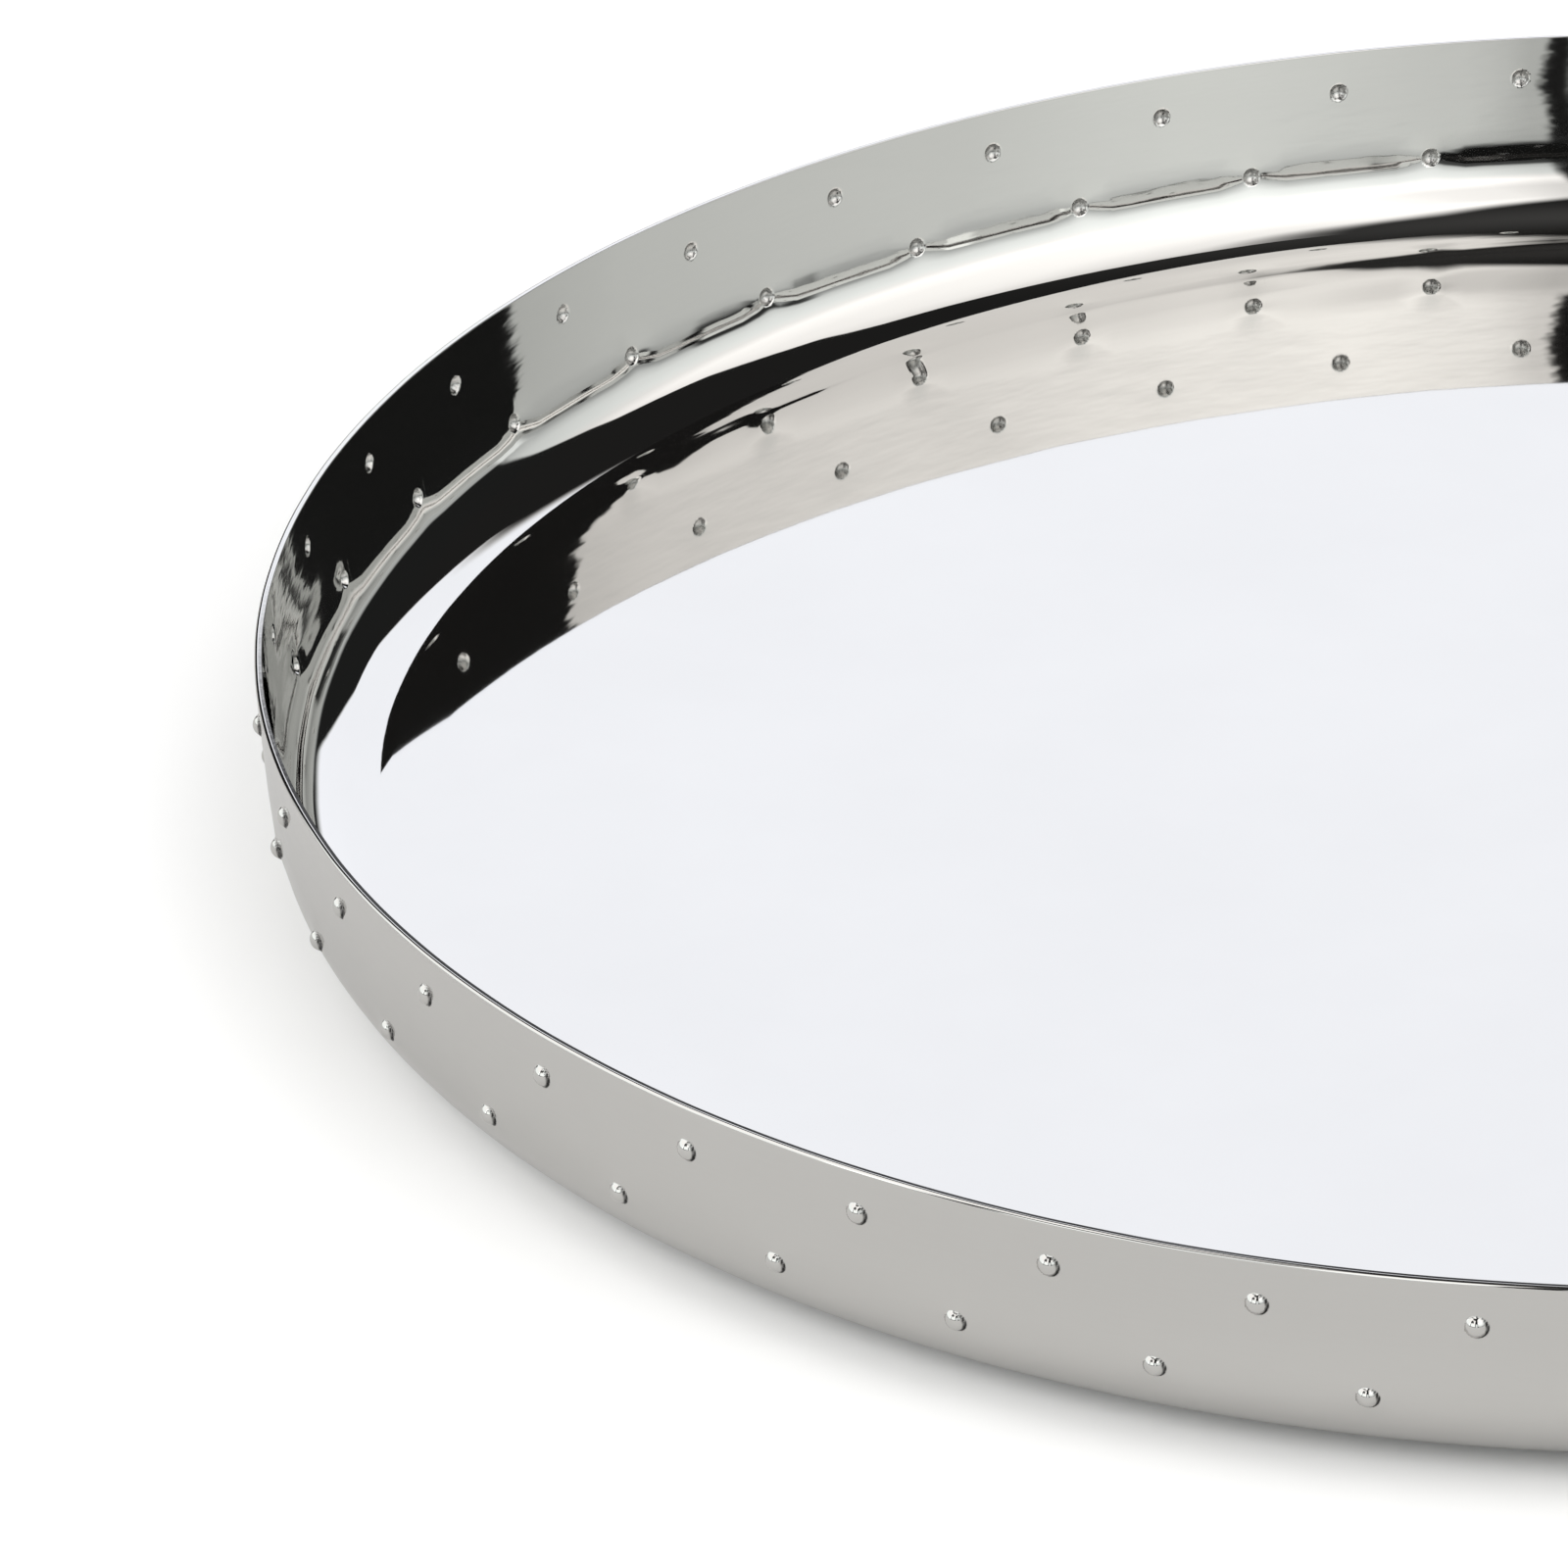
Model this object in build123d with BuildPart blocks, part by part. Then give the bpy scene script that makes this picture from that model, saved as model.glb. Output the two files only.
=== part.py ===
from build123d import *
import os
from math import asin, cos, degrees, radians, sin, tan

# Round serving tray in polished stainless sheet, standing on four clear bumpers.
# Millimetres, +Z up. The origin is the centre of the circle it stands on, on the table.

# --- Overall ---------------------------------------------------------------
rim_diameter = 400.0  # outside, at the top edge
tray_depth = 30.4  # top edge down to the underside of the base
sheet = 1.1

# --- Wall and corner -------------------------------------------------------
wall_taper = 3.5  # degrees from upright, narrower towards the base
corner_radius = 14.6  # outside of the sheet, between the wall and the base
edge_flat = 0.15  # left flat on the top edge
edge_break = 0.1  # small round on the inner side of the top edge; the outer side takes the rest

# --- Pressed studs ---------------------------------------------------------
studs_per_row = 44
upper_row_depth = 6.5  # top edge down to the middle of the upper studs
lower_row_height = 11.8  # underside of the base up to the middle of the lower studs
stud_radius = 1.55
stud_height = 1.0
stud_root = 0.3  # blend between a stud and the wall
dimple_narrower = 0.25  # the hollow behind a stud, smaller than the stud by this
dimple_shallower = 0.1
stud_bite = 0.35  # how far the form for a stud reaches into the sheet
stud_sink = 0.06  # keeps the outer ring of a stud's blend just under the wall
row_drift = 0.8  # degrees, the hand-set rows stray this far from an even spacing

# --- Joint between the wall band and the base pan --------------------------
joint_below_studs = 0.6

# --- Bumpers ---------------------------------------------------------------
bumper_diameter = 11.0
bumper_height = 1.9
bumper_round = 1.1
bumper_inset = 24.0  # edge of the flat base in to the middle of a bumper
adhesive_thickness = 0.25
adhesive_margin = 0.5

# --- Worked out from the above ---------------------------------------------
base_under = bumper_height + adhesive_thickness
rim_top = base_under + tray_depth
rim_radius = rim_diameter / 2
corner_point_radius = rim_radius - tray_depth * tan(radians(wall_taper))
flat_radius = corner_point_radius - corner_radius * tan(radians(90 - wall_taper) / 2)
corner_centre_height = base_under + corner_radius
edge_round = sheet - edge_flat - edge_break
stud_foot = stud_radius + stud_root
stud_pitch = 360 / studs_per_row
lower_row = base_under + lower_row_height
upper_row = rim_top - upper_row_depth
joint_height = lower_row - stud_foot - joint_below_studs
bumper_circle = flat_radius - bumper_inset

os.makedirs("parts", exist_ok=True)


def sheet_section():
    """Closed half section of the whole tray sheet, base and wall in one."""
    corner = (corner_point_radius, base_under)
    with BuildSketch(Plane.XZ) as section:
        with BuildLine():
            FilletPolyline((0, base_under), corner, (rim_radius, rim_top), radius=corner_radius)
            offset(amount=sheet, side=Side.LEFT)
        make_face()
        fillet(section.vertices().sort_by(Axis.Y)[-2], edge_round)
        fillet(section.vertices().sort_by(Axis.Y)[-1], edge_break)
    return section.sketch


def stud_form(radius, height, root):
    """Domed punch mark on its own axis, +X outwards, with a blended root."""
    dome_sphere = (radius**2 + height**2) / (2 * height)
    with BuildPart() as form:
        with BuildSketch(Plane.XY) as outline:
            with BuildLine():
                rim = (0, radius)
                Line((-stud_bite, 0), (height, 0))
                CenterArc((height - dome_sphere, 0), dome_sphere, 0, degrees(asin(radius / dome_sphere)))
                Polyline(rim, (0, radius + root), (-stud_bite, radius + root), (-stud_bite, 0))
            make_face()
            fillet(outline.vertices().sort_by_distance(rim)[0], root)
        revolve(axis=Axis.X)
    return form.part


def outside_at(height):
    """Radius of the outside of the sheet at a height, how far it leans there, and its roundness."""
    below_centre = (corner_centre_height - height) / corner_radius
    if below_centre <= sin(radians(wall_taper)):
        return rim_radius - (rim_top - height) * tan(radians(wall_taper)), wall_taper, 0
    lean = asin(below_centre)
    return flat_radius + corner_radius * cos(lean), degrees(lean), 1 / corner_radius


def row_places(height, first_angle):
    """Where one row of studs sits, each turned to face straight out of the sheet."""
    radius, lean, roundness = outside_at(height)
    sink = stud_sink + roundness * stud_foot**2 / 2
    on_wall = Location((radius, 0, height), (0, lean, 0)) * Location((-sink, 0, 0))
    even = [first_angle + number * stud_pitch for number in range(studs_per_row)]
    angles = [angle - row_drift * sin(radians(angle)) for angle in even]
    return [Location((0, 0, 0), (0, 0, angle)) * on_wall for angle in angles]


# Wall band: the upright strip with both rows of studs pressed outwards through it.
dome = stud_form(stud_radius, stud_height, stud_root)
dimple = stud_form(stud_radius - dimple_narrower, stud_height - dimple_shallower, stud_root)
stud_places = row_places(upper_row, 0) + row_places(lower_row, stud_pitch / 2)
behind_sheet = Location((-sheet, 0, 0))

with BuildPart() as wall_band:
    add(sheet_section())
    revolve(axis=Axis.Z)
    split(bisect_by=Plane.XY.offset(joint_height), keep=Keep.TOP)
    with Locations(*stud_places):
        add(dome)
    with Locations(*[place * behind_sheet for place in stud_places]):
        add(dimple, mode=Mode.SUBTRACT)
wall_band.part.label = "wall_band"
export_step(wall_band.part, "parts/wall_band.step")

# Base pan: the flat base and most of the rounded corner, up to the joint under the lower studs.
with BuildPart() as base_pan:
    add(sheet_section())
    revolve(axis=Axis.Z)
    split(bisect_by=Plane.XY.offset(joint_height), keep=Keep.BOTTOM)
base_pan.part.label = "base_pan"
export_step(base_pan.part, "parts/base_pan.step")

# Four clear bumpers under the base, each on its own adhesive disc.
corners = {"back_right": 45, "back_left": 135, "front_left": 225, "front_right": 315}
for corner, angle in corners.items():
    spot = Location((bumper_circle * cos(radians(angle)), bumper_circle * sin(radians(angle)), 0))
    with BuildPart() as bumper:
        with Locations(spot):
            Cylinder(bumper_diameter / 2, bumper_height, align=(Align.CENTER, Align.CENTER, Align.MIN))
        fillet(bumper.edges().sort_by(Axis.Z)[0], bumper_round)
    bumper.part.label = f"bumper_{corner}"
    export_step(bumper.part, f"parts/bumper_{corner}.step")

    with BuildPart() as adhesive:
        with Locations(spot * Location((0, 0, bumper_height))):
            Cylinder(
                bumper_diameter / 2 - adhesive_margin,
                adhesive_thickness,
                align=(Align.CENTER, Align.CENTER, Align.MIN),
            )
    adhesive.part.label = f"adhesive_{corner}"
    export_step(adhesive.part, f"parts/adhesive_{corner}.step")
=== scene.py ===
from math import atan2, cos, pi, radians, sin, sqrt, tan

import bpy
import numpy as np
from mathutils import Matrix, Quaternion, Vector


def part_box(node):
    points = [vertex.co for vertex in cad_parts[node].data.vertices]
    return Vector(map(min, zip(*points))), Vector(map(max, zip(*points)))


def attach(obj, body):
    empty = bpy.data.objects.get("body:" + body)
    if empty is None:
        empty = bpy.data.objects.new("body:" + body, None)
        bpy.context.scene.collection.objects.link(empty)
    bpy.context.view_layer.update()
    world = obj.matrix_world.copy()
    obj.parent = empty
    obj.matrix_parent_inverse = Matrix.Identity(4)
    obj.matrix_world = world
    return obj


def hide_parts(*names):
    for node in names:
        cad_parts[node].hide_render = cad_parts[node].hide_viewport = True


# Round serving tray in mirror-polished sheet, with two rows of pressed studs round the wall.
# The studs and the sheet are worked out in millimetres, and become metres as they are made.

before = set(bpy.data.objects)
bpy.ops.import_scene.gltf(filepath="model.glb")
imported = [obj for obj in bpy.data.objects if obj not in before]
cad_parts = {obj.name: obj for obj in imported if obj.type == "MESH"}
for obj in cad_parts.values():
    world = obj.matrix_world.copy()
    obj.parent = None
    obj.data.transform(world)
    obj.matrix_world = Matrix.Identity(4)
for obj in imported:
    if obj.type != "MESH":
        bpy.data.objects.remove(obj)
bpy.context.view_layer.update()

mm = 0.001
band_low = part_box("wall_band")[0]
pan_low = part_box("base_pan")[0]

# --- The sheet --------------------------------------------------------------
sheet = 1.1
rim_radius = 200.0
wall_taper = radians(3.5)
corner_outside = 14.6
corner_inside = corner_outside - sheet
edge_flat = 0.45
edge_break = 0.15
edge_round = sheet - edge_flat - edge_break
base_under = pan_low.z / mm
joint_height = band_low.z / mm
tray_depth = 30.4
rim_top = base_under + tray_depth

corner_point = rim_radius - tray_depth * tan(wall_taper)
flat_radius = corner_point - corner_outside * tan((pi / 2 - wall_taper) / 2)
corner_centre = base_under + corner_outside
wall_foot = corner_centre - corner_outside * sin(wall_taper)

# --- The studs --------------------------------------------------------------
studs_per_row = 44
pitch = 360 / studs_per_row
row_drift = 0.8
stud_radius = 1.55
stud_height = 1.0
stud_root = 0.3
dimple_radius = 1.3
dimple_height = 0.9
upper_row = rim_top - 6.5
lower_row = base_under + 11.8

# --- How far polished sheet stands out of true ------------------------------
upper_pull, upper_pull_reach = 0.04, 4
lower_pull, lower_pull_reach = 0.10, 3.2
gap_pull, gap_pull_along, gap_pull_up = 0.19, 3.5, 2.4  # inwards, between the lower studs
waves = (  # how many go round the tray, phase and size
    (17, 0.4, 0.020),
    (29, 2.1, 0.014),
    (47, 1.0, 0.010),
    (71, 4.4, 0.006),
    (103, 3.3, 0.003),
)
wave_climb = 9
dish_middle = 120.5  # degrees round, where the base rises most
dish_full, dish_ends = 8.5, 15  # degrees to each side of it
dish_width, dish_narrower = 7, 2.4
dish_slope, dish_steeper = 1.9, 4.0  # degrees
dish_fall = 16
uv_turn, uv_row = 360, 100  # degrees and millimetres across the UV map


def climb_at(height, round_radius):
    """How far a height on the sheet lies up the outside, from where the corner round ends."""
    below = (corner_centre - height) / round_radius
    if below <= sin(wall_taper):
        return (height - wall_foot) / cos(wall_taper)
    return (wall_taper - atan2(below, sqrt(1 - below**2))) * corner_outside


climb_upper = climb_at(upper_row, corner_outside)
climb_lower = climb_at(lower_row, corner_outside)
climb_top = climb_at(rim_top, corner_outside)
stud_rows = ((0, climb_upper), (pitch / 2, climb_lower))  # turn of the first stud, and climb
climb_edge = climb_top - edge_round
climb_flat = -(pi / 2 - wall_taper) * corner_outside
climb_joint_out = climb_at(joint_height, corner_outside)
climb_joint_in = climb_at(joint_height, corner_inside)
edge_length = pi / 2 * (edge_round + edge_break) + edge_flat
row_edge_end = climb_edge + edge_length
row_inside = row_edge_end + climb_top - edge_break  # a row on the inside is this less its climb


def along_sheet(inside, climb):
    """Radius, height and outward direction of one face of the sheet at each climb."""
    lean = np.clip(wall_taper - np.minimum(climb, 0) / corner_outside, 0, pi / 2)
    out_r, out_z = np.cos(lean), -np.sin(lean)
    round_radius = np.where(inside, corner_inside, corner_outside)
    up = np.maximum(climb, 0)
    in_base = np.maximum(climb_flat - climb, 0)
    radius = flat_radius + round_radius * out_r + up * sin(wall_taper) - in_base
    height = corner_centre + round_radius * out_z + up * cos(wall_taper)
    return radius, height, out_r, out_z


def over_edge(along):
    """Radius and height on the rounded top edge, along mm from where the outside face ends."""
    outside = np.zeros_like(along, bool)
    radius, height, out_r, out_z = along_sheet(outside, np.full_like(along, climb_edge))
    first = np.clip(along / edge_round, 0, pi / 2)
    level = np.clip(along - pi / 2 * edge_round, 0, edge_flat)
    second = np.clip((along - pi / 2 * edge_round - edge_flat) / edge_break, 0, pi / 2)
    across = edge_round * (np.cos(first) - 1) - level - edge_break * np.sin(second)
    rise = edge_round * np.sin(first) + edge_break * (np.cos(second) - 1)
    return radius + across * out_r - rise * out_z, height + across * out_z + rise * out_r


def pressed(distance, radius, height, root):
    """Height of a punch mark over the sheet, at a distance from its middle."""
    ball = (radius**2 + height**2) / (2 * height)
    reach = sqrt((ball + root) ** 2 - (root + ball - height) ** 2)
    blend_starts = reach * ball / (ball + root)
    dome = height - ball + np.sqrt(np.maximum(ball**2 - distance**2, 0))
    blend = root - np.sqrt(np.maximum(root**2 - (reach - distance) ** 2, 0))
    return np.where(distance < blend_starts, dome, np.where(distance < reach, blend, 0))


def beside_stud(turn, first):
    """Millimetres round the rim from the nearest stud of one row."""
    nearest = (turn - first) - pitch * np.round((turn - first) / pitch)
    return np.radians(nearest) * rim_radius


def from_stud(turn, climb, first, row_climb, shrink):
    """Distance from the nearest stud of one row, measured on the sheet."""
    return np.hypot(beside_stud(turn, first), (climb - row_climb) * shrink)


def bulge(distance, reach):
    """A soft bump, 1 in its middle."""
    return np.exp(-((distance / reach) ** 2))


def drawn_out(turn, climb):
    """How far the whole sheet stands out of true: drawn towards the studs, and slightly wavy."""
    angle = np.radians(turn)
    to_upper = from_stud(turn, climb, 0, climb_upper, 1)
    to_lower = from_stud(turn, climb, pitch / 2, climb_lower, 1)
    pull = upper_pull * bulge(to_upper, upper_pull_reach)
    pull = pull + lower_pull * bulge(to_lower, lower_pull_reach)
    in_gap = 1 - bulge(from_stud(turn, climb, pitch / 2, climb_lower, 0), gap_pull_along)
    pull = pull - gap_pull * in_gap * bulge(climb - climb_lower, gap_pull_up)
    wave = 0
    for count, phase, size in waves:
        wave = wave + size * np.sin(count * angle + phase + climb / wave_climb)
    fade = np.clip((climb - climb_flat) / -climb_flat, 0, 1) ** 2
    return (pull + wave) * fade


def dished(turn, climb):
    """How far the base rises towards the corner before the round begins, most at the back left."""
    full, ends = cos(radians(dish_full)), cos(radians(dish_ends))
    near = np.clip((np.cos(np.radians(turn - dish_middle)) - ends) / (full - ends), 0, 1)
    near = near * near * (3 - 2 * near)
    width = dish_width - dish_narrower * near
    rise = np.clip((climb - climb_flat + width) / width, 0, 1)
    fall = np.clip((climb_flat + dish_fall - climb) / dish_fall, 0, 1)
    slope = np.radians(dish_slope + dish_steeper * near)
    return slope * width / 2 * np.where(climb < climb_flat, rise**2, fall**2 * (3 - 2 * fall))


def sheet_point(turn, row):
    """Where points of the flat pattern lie on the tray: turn in degrees round, row in mm along."""
    inside = row > row_edge_end - edge_break
    on_edge = (row > climb_edge) & (row < row_edge_end)
    climb = np.where(on_edge, climb_edge, np.where(inside, row_inside - row, row))
    radius, height, out_r, out_z = along_sheet(inside, climb)
    edge_r, edge_z = over_edge(np.where(on_edge, row - climb_edge, 0))
    radius = np.where(on_edge, edge_r, radius)
    height = np.where(on_edge, edge_z, height)
    over = climb_edge + (row - climb_edge) / edge_length * (climb_top - edge_break - climb_edge)
    shape_climb = np.where(on_edge, over, climb)
    out = drawn_out(turn, shape_climb) - dished(turn, shape_climb)
    in_round = np.where(inside & (climb < 0), corner_inside / corner_outside, 1)
    for first, row_climb in stud_rows:
        distance = from_stud(turn, climb, first, row_climb, in_round)
        stud = pressed(distance, stud_radius, stud_height, stud_root)
        dimple = pressed(distance, dimple_radius, dimple_height, stud_root)
        out = out + np.where(on_edge, 0, np.where(inside, dimple, stud))
    radius = radius + out * out_r
    height = height + out * out_z
    angle = np.radians(turn - row_drift * np.sin(np.radians(turn)))
    return np.stack((radius * np.cos(angle), radius * np.sin(angle), height), -1) * mm


def sheet_normal(turn, row):
    """Direction the surface faces at points of the flat pattern."""
    small_turn, small_row = 0.002, 0.002
    round_way = sheet_point(turn + small_turn, row) - sheet_point(turn - small_turn, row)
    up_way = sheet_point(turn, row + small_row) - sheet_point(turn, row - small_row)
    facing = np.cross(round_way, up_way)
    return facing / np.maximum(np.linalg.norm(facing, axis=-1, keepdims=True), 1e-12)


# --- Small helpers ----------------------------------------------------------
def select_none():
    bpy.ops.object.select_all(action="DESELECT")


def only(piece):
    """Makes a piece the one that operators act on."""
    select_none()
    piece.select_set(True)
    bpy.context.view_layer.objects.active = piece


def rename(piece, name):
    piece.name = name
    piece.data.name = name
    return piece


def flat_pattern(name, turns, rows):
    """A flat grid with a column at each turn and a line at each row of the pattern."""
    select_none()
    bpy.ops.mesh.primitive_grid_add(x_subdivisions=len(turns) - 1, y_subdivisions=len(rows) - 1, size=2)
    piece = rename(bpy.context.object, name)
    mesh = piece.data
    place = np.zeros(len(mesh.vertices) * 3)
    mesh.vertices.foreach_get("co", place)
    place = place.reshape(-1, 3)
    column = np.round((place[:, 0] + 1) / 2 * (len(turns) - 1)).astype(int)
    line = np.round((place[:, 1] + 1) / 2 * (len(rows) - 1)).astype(int)
    place[:, 0] = np.array(turns)[column]
    place[:, 1] = np.array(rows)[line]
    mesh.vertices.foreach_set("co", place.ravel())
    mesh.update()
    return piece


def refine_studs(piece, reach, cuts):
    """Cuts the cells of the flat pattern finer where a stud is pressed."""
    mesh = piece.data
    place = np.zeros(len(mesh.vertices) * 3)
    mesh.vertices.foreach_get("co", place)
    turn, row = place[0::3], place[1::3]
    climb = np.where(row > row_edge_end - edge_break, row_inside - row, row)
    near = np.zeros(len(turn), bool)
    for first, row_climb in stud_rows:
        near |= (np.abs(beside_stud(turn, first)) < reach) & (np.abs(climb - row_climb) < reach)
    corners = np.zeros(len(mesh.polygons) * 4, int)
    mesh.polygons.foreach_get("vertices", corners)
    chosen = near[corners.reshape(-1, 4)].all(1)
    only(piece)
    bpy.ops.object.mode_set(mode="EDIT")
    bpy.ops.mesh.select_mode(type="FACE")
    bpy.ops.mesh.select_all(action="DESELECT")
    bpy.ops.object.mode_set(mode="OBJECT")
    mesh.polygons.foreach_set("select", chosen)
    bpy.ops.object.mode_set(mode="EDIT")
    bpy.ops.mesh.subdivide(number_cuts=cuts, smoothness=0)
    bpy.ops.object.mode_set(mode="OBJECT")


def roll_up(piece):
    """Moves a flat pattern to its place on the tray, joins its ends, and marks the hollows and the
    edges where shade and dark reflections are painted.
    """
    mesh = piece.data
    place = np.zeros(len(mesh.vertices) * 3)
    mesh.vertices.foreach_get("co", place)
    place = place.reshape(-1, 3)
    corner_vertex = np.zeros(len(mesh.loops), int)
    mesh.loops.foreach_get("vertex_index", corner_vertex)
    pattern = place[corner_vertex][:, :2] * (1 / uv_turn, 1 / uv_row)
    mesh.uv_layers.active.data.foreach_set("uv", pattern.ravel())
    mesh.uv_layers.active.name = "pattern"
    mesh.vertices.foreach_set("co", sheet_point(place[:, 0], place[:, 1]).ravel())
    mesh.update()
    turn, row = place[:, 0], place[:, 1]
    inside = row > row_edge_end
    to_upper = from_stud(turn, row_inside - row, 0, climb_upper, 1)
    to_lower = from_stud(turn, row_inside - row, pitch / 2, climb_lower, 1)
    hollow = np.clip((dimple_radius + 0.1 - np.minimum(to_upper, to_lower)) / 0.25, 0, 1) * inside
    mesh.attributes.new("hollow", "FLOAT", "POINT").data.foreach_set("value", hollow)
    # Painted shade and dark reflection: a ring round each outer stud, darker towards its right and
    # lower side.
    foot = np.zeros(len(row))
    for first, row_climb in stud_rows:
        ahead, above = beside_stud(turn, first), row - row_climb
        away = np.hypot(ahead, above)
        ring = bulge(away - stud_radius, 0.2)
        foot += ring * np.clip(0.35 + (0.75 * ahead - 0.2 * above) / np.maximum(away, 0.3), 0.1, 1)
    foot = foot * (row < climb_edge) * (row > climb_joint_out)
    # Painted dark reflection along the front part of the rounded rim lip.
    lip = (row > climb_edge + pi / 2 * edge_round + 0.05) & (row < row_edge_end + 0.01)
    foot += lip * np.clip(-1.5 * np.sin(np.radians(turn)) + 0.3, 0, 1)
    mesh.attributes.new("foot", "FLOAT", "POINT").data.foreach_set("value", foot)
    only(piece)
    bpy.ops.object.mode_set(mode="EDIT")
    bpy.ops.mesh.select_all(action="SELECT")
    bpy.ops.mesh.remove_doubles(threshold=2e-6)
    bpy.ops.object.mode_set(mode="OBJECT")


def face_true(piece):
    """Gives each corner of each face the direction of the sheet there, so reflections run smoothly."""
    mesh = piece.data
    bpy.ops.object.shade_smooth()
    pattern = np.zeros(len(mesh.loops) * 2)
    mesh.uv_layers["pattern"].data.foreach_get("uv", pattern)
    turn, row = pattern[0::2] * uv_turn, pattern[1::2] * uv_row
    facing = sheet_normal(turn, row)
    starts = np.zeros(len(mesh.polygons), int)
    totals = np.zeros(len(mesh.polygons), int)
    flat = np.zeros(len(mesh.polygons) * 3)
    mesh.polygons.foreach_get("loop_start", starts)
    mesh.polygons.foreach_get("loop_total", totals)
    mesh.polygons.foreach_get("normal", flat)
    owner = np.repeat(np.arange(len(starts)), totals)
    first_row = np.minimum.reduceat(row, starts)
    spread = np.maximum.reduceat(row, starts) - first_row
    flat = flat.reshape(-1, 3)
    # The level faces at the joint run from one side of the sheet to the other, and stay flat.
    crosses = (spread > 10) & (np.abs(flat[:, 2]) > 0.99) & (first_row > climb_flat)
    facing[crosses[owner]] = flat[owner][crosses[owner]]
    against = (facing * flat[owner]).sum(1) < 0
    facing[against] = flat[owner][against]
    mesh.normals_split_custom_set(facing.tolist())


def outward(piece):
    only(piece)
    bpy.ops.object.mode_set(mode="EDIT")
    bpy.ops.mesh.select_all(action="SELECT")
    bpy.ops.mesh.normals_make_consistent(inside=False)
    bpy.ops.object.mode_set(mode="OBJECT")


# --- Layout of the pattern --------------------------------------------------
stud_cell = 1.1
stud_reach = 2 * stud_cell


def between(first, last, cells):
    """Evenly spaced values after first, up to and with last."""
    return [first + (last - first) * number / cells for number in range(1, cells + 1)]


def stud_lines(middle):
    """Five rows of the pattern across a row of studs."""
    return [middle + number * stud_cell for number in (-2, -1, 0, 1, 2)]


cell_turn = np.degrees(stud_cell / rim_radius)
column_turns = [-2 * cell_turn]
for half in range(2 * studs_per_row):
    middle = half * pitch / 2
    column_turns += between(middle - 2 * cell_turn, middle + 2 * cell_turn, 4)
    column_turns += between(middle + 2 * cell_turn, middle + pitch / 2 - 2 * cell_turn, 3)

outside_rows = [climb_joint_out]
outside_rows += stud_lines(climb_lower)
outside_rows += between(climb_lower + stud_reach, climb_upper - stud_reach, 3)
outside_rows += stud_lines(climb_upper)[1:]
outside_rows += between(climb_upper + stud_reach, climb_edge, 2)
edge_rows = between(climb_edge, climb_edge + pi / 2 * edge_round, 6)
edge_rows += between(edge_rows[-1], edge_rows[-1] + edge_flat, 4)
edge_rows += between(edge_rows[-1], row_edge_end, 2)
inside_climbs = [climb_joint_in] + outside_rows[1:-1]
inside_rows = [row_inside - climb for climb in reversed(inside_climbs)]
band_rows = outside_rows + edge_rows + inside_rows + [climb_joint_out]

wall_band = flat_pattern("wall_band_polished", column_turns, band_rows)
refine_studs(wall_band, stud_reach + 0.05, 3)
roll_up(wall_band)
outward(wall_band)
face_true(wall_band)

under_centre = climb_flat - flat_radius
flat_stops = [0, 12, 45, 90, 130, 155, 172] + [flat_radius - back for back in (7, 5, 3.5, 2, 1, 0)]
under_rows = [under_centre + stop for stop in flat_stops]
under_rows += between(climb_flat, climb_joint_out, 10)
corner_climbs = between(climb_flat, climb_joint_in, 10)[:-1]
floor_rows = [row_inside - climb for climb in [climb_joint_in] + corner_climbs[::-1]]
floor_rows += [row_inside - (under_centre + stop) for stop in reversed(flat_stops)]
base_pan = flat_pattern("base_pan_polished", column_turns, under_rows + floor_rows)
roll_up(base_pan)
outward(base_pan)
face_true(base_pan)


# --- Bumpers and their adhesive discs ---------------------------------------
def round_edge(piece, height, width, segments):
    """Rounds the edge of a disc that lies at a height."""
    only(piece)
    bpy.ops.object.mode_set(mode="EDIT")
    bpy.ops.mesh.select_mode(type="EDGE")
    bpy.ops.mesh.select_all(action="DESELECT")
    bpy.ops.object.mode_set(mode="OBJECT")
    mesh = piece.data
    for edge in mesh.edges:
        edge.select = all(abs(mesh.vertices[v].co.z - height) < 1e-6 for v in edge.vertices)
    bpy.ops.object.mode_set(mode="EDIT")
    bpy.ops.mesh.bevel(offset=width, segments=segments, affect="EDGES")
    bpy.ops.mesh.select_all(action="SELECT")
    bpy.ops.mesh.normals_make_consistent(inside=False)
    bpy.ops.object.mode_set(mode="OBJECT")


def disc_like(name, node, width, segments):
    """A round piece as wide and tall as its CAD node, with its lower edge rounded."""
    low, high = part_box(node)
    middle = (low + high) / 2
    select_none()
    bpy.ops.mesh.primitive_cylinder_add(
        vertices=96, radius=(high.x - low.x) / 2, depth=high.z - low.z, location=middle
    )
    piece = rename(bpy.context.object, name)
    bpy.ops.object.transform_apply(location=True, rotation=True, scale=True)
    round_edge(piece, low.z, width, segments)
    only(piece)
    bpy.ops.object.shade_smooth_by_angle(angle=radians(40))
    return piece


def copy_to(piece, name, shift):
    """A copy with its own mesh, moved by a shift."""
    only(piece)
    bpy.ops.object.duplicate()
    other = rename(bpy.context.object, name)
    bpy.ops.object.mode_set(mode="EDIT")
    bpy.ops.mesh.select_all(action="SELECT")
    bpy.ops.transform.translate(value=shift)
    bpy.ops.object.mode_set(mode="OBJECT")
    return other


corners = ("back_right", "back_left", "front_left", "front_right")
bumpers, adhesives = {}, {}
for corner in corners:
    for kind, made, width, segments in (
        ("bumper", bumpers, 1.1 * mm, 8),
        ("adhesive", adhesives, 0.05 * mm, 2),
    ):
        node = f"{kind}_{corner}"
        if not made:
            made[corner] = disc_like(f"{node}_smooth", node, width, segments)
        else:
            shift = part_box(node)[0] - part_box(f"{kind}_{corners[0]}")[0]
            made[corner] = copy_to(made[corners[0]], f"{node}_smooth", shift)


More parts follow.
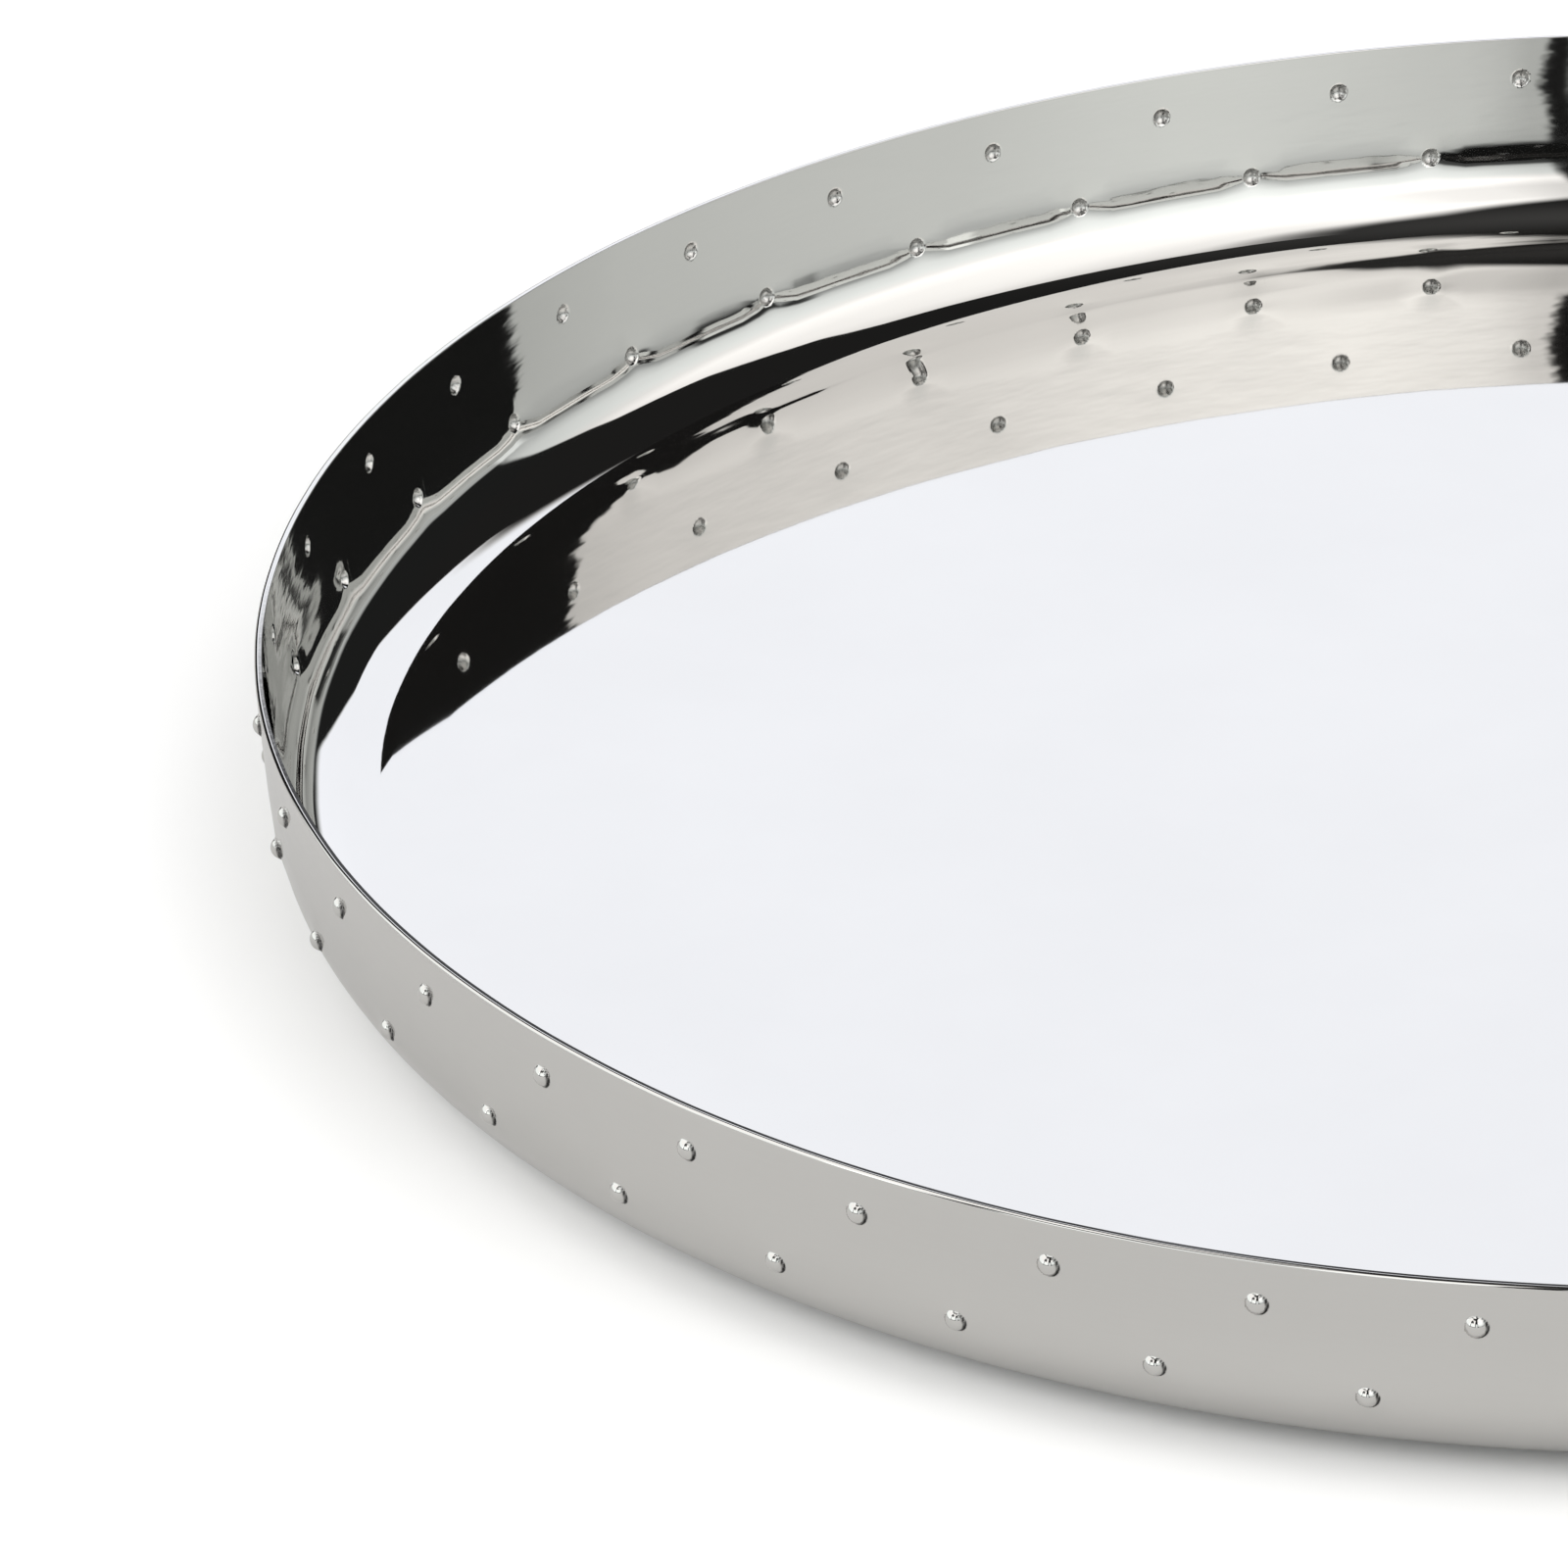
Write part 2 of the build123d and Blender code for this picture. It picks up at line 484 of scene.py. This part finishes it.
# --- Materials --------------------------------------------------------------
class Line:
    """A socket of a node tree that takes part in plain arithmetic."""

    def __init__(self, tree, socket=None):
        self.tree = tree
        self.socket = socket

    def node(self, kind, settings=None, inputs=None, output=0):
        """Adds any node: its settings first, then the values or links of its sockets."""
        made = self.tree.nodes.new(kind)
        for name, value in (settings or {}).items():
            if name == "stops":
                ramp = made.color_ramp
                while len(ramp.elements) < len(value):
                    ramp.elements.new(0.5)
                for element, (place, shade) in zip(ramp.elements, value):
                    element.position = place
                    element.color = (shade, shade, shade, 1)
            else:
                setattr(made, name, value)
        for name, value in (inputs or {}).items():
            if isinstance(value, Line):
                self.tree.links.new(value.socket, made.inputs[name])
            else:
                made.inputs[name].default_value = value
        return Line(self.tree, made.outputs[output])

    def math(self, operation, *values):
        return self.node("ShaderNodeMath", {"operation": operation}, dict(enumerate(values)))

    def __add__(self, other):
        return self.math("ADD", self, other)

    __radd__ = __add__

    def __mul__(self, other):
        return self.math("MULTIPLY", self, other)

    def __sub__(self, other):
        return self.math("SUBTRACT", self, other)

    def __rsub__(self, other):
        return self.math("SUBTRACT", other, self)

    def ramp(self, low, high, to_low=0.0, to_high=1.0, smooth=True):
        """Runs from one value to another as this one goes from low to high."""
        return self.node(
            "ShaderNodeMapRange",
            {"interpolation_type": "SMOOTHSTEP" if smooth else "LINEAR", "clamp": True},
            {0: self, 1: low, 2: high, 3: to_low, 4: to_high},
        )

    def noise(self, scale, detail, roughness, stretch=(1, 1, 1)):
        """Soft random variation over these coordinates."""
        moved = self.node("ShaderNodeMapping", {}, {"Vector": self, "Scale": stretch})
        return self.node(
            "ShaderNodeTexNoise",
            {"noise_dimensions": "3D"},
            {"Vector": moved, "Scale": scale, "Detail": detail, "Roughness": roughness},
        )

    def mix(self, first, second):
        """One colour turning into another as this value goes from 0 to 1."""
        return self.node("ShaderNodeMix", {"data_type": "RGBA"}, {0: self, 6: first, 7: second}, 2)


def new_material(name, constants):
    """An empty surface with its shader, and the constants on the shader's own sockets."""
    material = bpy.data.materials.new(name)
    material.use_nodes = True
    tree = material.node_tree
    shader = tree.nodes["Principled BSDF"]
    for socket, value in constants.items():
        shader.inputs[socket].default_value = value
    return material, Line(tree), shader


def connect(flow, shader, socket):
    flow.tree.links.new(flow.socket, shader.inputs[socket])


def shaded(tone, share):
    """A colour made darker or lighter."""
    return [channel * share for channel in tone] + [1]


def polished_steel(name, tone, dull, ripple):
    """Mirror polish with ripples, polishing lines and haze; hollows behind the studs rougher from the
    punch and darker as painted shade; painted shade and dark reflections round the outer studs and
    along the front of the rim lip.
    """
    material, start, shader = new_material(name, {"Metallic": 1.0})
    place = start.node("ShaderNodeTexCoord", {}, {}, "Object")
    hollow = start.node("ShaderNodeAttribute", {"attribute_name": "hollow"}, {}, "Fac")
    foot = start.node("ShaderNodeAttribute", {"attribute_name": "foot"}, {}, "Fac")
    haze = place.noise(18, 3, 0.55)
    lines = place.noise(1, 3, 0.6, (90, 90, 1500))
    marks = place.noise(160, 4, 0.6).ramp(0.60, 0.78)
    grain = place.noise(1400, 3, 0.6)
    shade = haze.ramp(0.3, 0.7) * 0.5 + lines * 0.5
    plain = shade.mix(shaded(tone, 0.98), shaded(tone, 1.02))
    # Hollows behind the studs: rougher grain from the punch, and darker as painted shade in the recess.
    pitted_and_shaded = grain.ramp(0.35, 0.65).mix(shaded(tone, 0.62), shaded(tone, 0.95))
    # Painted shade and dark reflection: the marked rings round the outer studs and the front of the rim
    # lip turn nearly black and a little rougher.
    painted_dark_share = (foot * (0.75 + grain * 0.5)).ramp(0.15, 0.8)
    connect(painted_dark_share.mix(hollow.mix(plain, pitted_and_shaded), shaded(tone, 0.04)), shader, "Base Color")
    wear = dull + haze * dull + lines * dull * 0.6 + marks * dull * 0.6
    connect(wear + hollow * 0.22 + painted_dark_share * 0.3, shader, "Roughness")
    height = place.node("ShaderNodeSeparateXYZ", {}, {"Vector": place}, 2)
    calm = height.ramp((lower_row + 1) * mm, (lower_row + 5) * mm, 0.25, 0.85)
    swell = place.noise(38, 1, 0.4) * 1.6 * ripple
    swell = swell + place.noise(1, 2, 0.5, (105, 105, 420)) * calm * ripple
    surface = swell + lines * 0.015 + grain * hollow * 0.35
    bump = start.node("ShaderNodeBump", {}, {"Strength": 1.0, "Distance": 0.00004, "Height": surface})
    connect(bump, shader, "Normal")
    return material


def clear_silicone(name):
    """Clear soft rubber, very slightly cloudy, with dust caught in its surface."""
    material, start, shader = new_material(
        name, {"IOR": 1.41, "Transmission Weight": 0.85, "Specular IOR Level": 0.4}
    )
    place = start.node("ShaderNodeTexCoord", {}, {}, "Object")
    cloud = place.noise(420, 3, 0.5)
    specks = place.noise(2600, 2, 0.5).ramp(0.62, 0.7)
    dusty = (cloud * 0.6 + specks * 0.4).mix((0.93, 0.94, 0.94, 1), (0.78, 0.79, 0.78, 1))
    connect(dusty, shader, "Base Color")
    connect(0.16 + cloud * 0.12 + specks * 0.2, shader, "Roughness")
    bump = start.node("ShaderNodeBump", {}, {"Strength": 0.15, "Distance": 0.0001, "Height": cloud})
    connect(bump, shader, "Normal")
    return material


def adhesive_film(name):
    """Thin milky adhesive film with small trapped bubbles."""
    material, start, shader = new_material(name, {"IOR": 1.47, "Transmission Weight": 0.5})
    place = start.node("ShaderNodeTexCoord", {}, {}, "Object")
    cells = start.node("ShaderNodeTexVoronoi", {}, {"Vector": place, "Scale": 1500.0}, "Distance")
    bubbles = cells.ramp(0.1, 0.3)
    cloud = place.noise(700, 2, 0.5)
    milk = (bubbles * 0.5 + cloud * 0.5).mix((0.94, 0.94, 0.92, 1), (0.80, 0.80, 0.77, 1))
    connect(milk, shader, "Base Color")
    connect(0.3 + cloud * 0.2, shader, "Roughness")
    bump = start.node("ShaderNodeBump", {}, {"Strength": 0.2, "Distance": 0.00005, "Height": bubbles})
    connect(bump, shader, "Normal")
    return material


steel_tone = (0.612, 0.605, 0.590)
finishes = {
    "polished_wall": polished_steel("polished_wall_steel", steel_tone, 0.02, 1.0),
    "polished_base": polished_steel("polished_base_steel", steel_tone, 0.015, 0.35),
    "clear_silicone": clear_silicone("clear_silicone_rubber"),
    "adhesive_film": adhesive_film("adhesive_film_milky"),
}


def finish_piece(piece, node, slot):
    piece.data.materials.clear()
    piece.data.materials.append(finishes[slot])
    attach(piece, "root")
    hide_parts(node)


finish_piece(wall_band, "wall_band", "polished_wall")
finish_piece(base_pan, "base_pan", "polished_base")
for corner in corners:
    finish_piece(bumpers[corner], f"bumper_{corner}", "clear_silicone")
    finish_piece(adhesives[corner], f"adhesive_{corner}", "adhesive_film")


# --- Floor ------------------------------------------------------------------
select_none()
bpy.ops.mesh.primitive_plane_add(size=60)
floor = rename(bpy.context.object, "studio_floor")
paper, start, shader = new_material("white_paper_floor", {"Roughness": 0.9, "Specular IOR Level": 0.0})
grain = start.node("ShaderNodeTexCoord", {}, {}, "Object").noise(6, 2, 0.5)
# The floor that the tray mirrors is darker than the floor round it.
mirrored = start.node("ShaderNodeLightPath", {}, {}, "Is Glossy Ray")
paper_tone = grain.mix((0.93, 0.93, 0.93, 1), (0.94, 0.94, 0.94, 1))
connect(mirrored.mix(paper_tone, (0.66, 0.655, 0.65, 1)), shader, "Base Color")
floor.data.materials.append(paper)


# --- Studio light -----------------------------------------------------------
back_level, back_low_level, left_level, fill_level, below_eye_level = 1.478, 0.6, 1.5, 1.6, 1.15


def studio():
    """Soft panels round the table, as one surrounding: bright ones, and the dark gaps between them."""
    world = bpy.data.worlds.new("studio")
    bpy.context.scene.world = world
    world.use_nodes = True
    tree = world.node_tree
    start = Line(tree)
    way = start.node("ShaderNodeTexCoord", {}, {}, "Generated")
    east = start.node("ShaderNodeSeparateXYZ", {}, {"Vector": way}, 0)
    north = start.node("ShaderNodeSeparateXYZ", {}, {"Vector": way}, 1)
    height = start.node("ShaderNodeSeparateXYZ", {}, {"Vector": way}, 2)
    rise = start.math("ARCSINE", height) * (180 / pi)

    def aside(middle):
        """Degrees to the left of a compass direction."""
        c, s = cos(radians(middle)), sin(radians(middle))
        return start.math("ARCTAN2", north * c - east * s, east * c + north * s) * (180 / pi)

    def panel(middle, half, low, high, edge=1.0, low_edge=2.0, high_edge=4.0):
        """1 inside a panel and 0 outside it, in degrees round and up, with how soft its edges are."""
        across = start.math("ABSOLUTE", aside(middle)).ramp(half - edge, half + edge, 1.0, 0.0)
        above = rise.ramp(low - low_edge, low + low_edge)
        below = rise.ramp(high - high_edge, high + high_edge, 1.0, 0.0)
        return across * above * below

    def stepped(value, stops):
        """A level read off a row of stops, each a number of degrees and the level there."""
        low, high, most = stops[0][0], stops[-1][0], 3
        share = value.ramp(low, high, smooth=False)
        places = [((at - low) / (high - low), level / most) for at, level in stops]
        return share.node("ShaderNodeValToRGB", {"stops": places}, {"Fac": share}) * most

    # The big soft panel on the right: its top edge runs lower towards the front.
    key_aside = aside(330.5)
    front_lean = key_aside.ramp(-48, 0, 48, 0, smooth=False)
    key_top = rise + front_lean * front_lean * 0.0055
    right_end = rise.ramp(20, 33, 53, 51) - rise.ramp(33, 41, 0, 6) + rise.ramp(50, 58, 0, 8)
    key_in = key_aside.ramp(-50, -49) * (right_end - key_aside).ramp(0, 1.2)
    across_stops = [(-48, 0.85), (-42, 1.1), (-32, 1.2), (-16, 1.15), (2, 1.0), (24, 0.92)]
    across_stops += [(38, 0.86), (48, 0.76), (54, 0.7)]
    up_stops = [(-4, 0.3), (2, 0.5), (8, 0.86), (12, 1.08), (16, 1.26), (24, 1.42), (28, 1.5)]
    up_stops += [(33, 1.85), (44, 1.68), (60, 1.68), (68, 1.5), (78, 1.4)]
    key_across = stepped(key_aside, across_stops)
    key_up = stepped(rise, up_stops)
    low_right = 1 - panel(355, 18, 1, 8, 6.0, 2.0, 3.0) * 0.3
    low_right = low_right * (1 - panel(352.5, 6.5, -4, 9.5, 1.0, 2.0, 2.0) * 0.95)
    low_right = low_right * (1 - panel(284, 5, -4, 8, 1.0, 2.0, 2.0) * 0.9)
    low_front = 1 - panel(288, 16, 6, 26, 8.0, 3.0, 3.0) * 0.09
    low_front = low_front - panel(288, 14, 38, 62, 8.0, 6.0, 4.0) * 0.22
    key = key_in * low_front * key_across * key_up * key_top.ramp(70, 77, 1.0, 0.0)
    key = key * rise.ramp(-4, 1) * low_right

    back_edge = 21 + rise.ramp(22.5, 25.5, 0, 4.5) - rise.ramp(37, 44, 0, 8.5)
    back_top = rise - aside(85).ramp(-24, -11, -5, 0)
    back_right = (aside(85) + back_edge).ramp(-0.6, 0.6) * back_top.ramp(39, 45, 1.0, 0.0)
    back_panel = panel(90, 16, 11, 42, 1.0, 2.0, 3.0)
    back_panel = back_panel + back_right * panel(69, 10, 11, 60, 0.5, 2.0, 3.0)
    back_panel = start.math("MINIMUM", back_panel, 1.0)
    back_low = panel(43, 24, 1, 8.5, 2.0, 1.0, 1.0) * back_low_level
    left = panel(172, 34, 2, 74, 4.0, 6.0, 4.0) * left_level
    fill = panel(236.5, 19.5, 4, 58, 1.5, 3.0, 4.0) + panel(208, 4, 4, 58, 1.0, 3.0, 4.0)
    fill = fill * fill_level
    fill = fill * (1 - panel(222, 17, 30, 50, 2.0, 3.0, 3.0) * 0.93)
    below_eye = panel(270, 8.5, 1, 27, 1.0, 2.0, 3.0) * below_eye_level
    ceiling = rise.ramp(60, 90, 0.018, 0.07)
    light = key + back_panel * back_level + back_low + left + fill + below_eye + ceiling
    warmth = rise.ramp(22, 31).mix((0.962, 0.995, 0.98, 1), (1.0, 0.984, 0.966, 1))
    tint = back_panel.mix(warmth, (0.918, 0.9395, 1.0, 1))
    # Behind the tray the surroundings are plain white, as a cut-out background is.
    seen = start.node("ShaderNodeLightPath", {}, {}, "Is Camera Ray")
    background = tree.nodes["Background"]
    connect(seen.mix(tint, (1, 1, 1, 1)), background, "Color")
    connect(light + seen * (1.0 - light), background, "Strength")


studio()


def soft_light(name, place, facing, size, energy):
    """A round soft light that lights the floor but isn't mirrored."""
    bpy.ops.object.light_add(type="AREA", location=place, rotation=facing)
    light = bpy.context.object
    light.name = name
    light.data.shape = "DISK"
    light.data.size = size
    light.data.energy = energy
    light.visible_glossy = False
    light.visible_camera = False


soft_light("overhead_softbox", (0, 0, 3.0), (0, 0, 0), 4.0, 22)
front_place = Vector((-1.25, -1.75, 1.5))
soft_light("front_softbox", front_place, front_place.to_track_quat("Z", "Y").to_euler(), 1.6, 27)

# --- Camera -----------------------------------------------------------------
rim = rim_radius * mm
eye_back, eye_up = 8.09943, 3.92418  # in rim radii, from the middle of the rim
aim_left, aim_front = 0.61142, 0.29535
roll = radians(-1.676)
eye = Vector((0, -eye_back * rim, eye_up * rim + rim_top * mm))
aim = Vector((-aim_left * rim, -aim_front * rim, rim_top * mm))
camera = bpy.data.objects.new("camera", bpy.data.cameras.new("camera"))
bpy.context.scene.collection.objects.link(camera)
camera.location = eye
camera.rotation_mode = "QUATERNION"
camera.rotation_quaternion = (aim - eye).to_track_quat("-Z", "Y") @ Quaternion((0, 0, 1), roll)
camera.data.lens = 294.75
camera.data.sensor_width = 36
camera.data.clip_end = 100
bpy.context.scene.camera = camera
bpy.context.scene.view_settings.view_transform = "Standard"
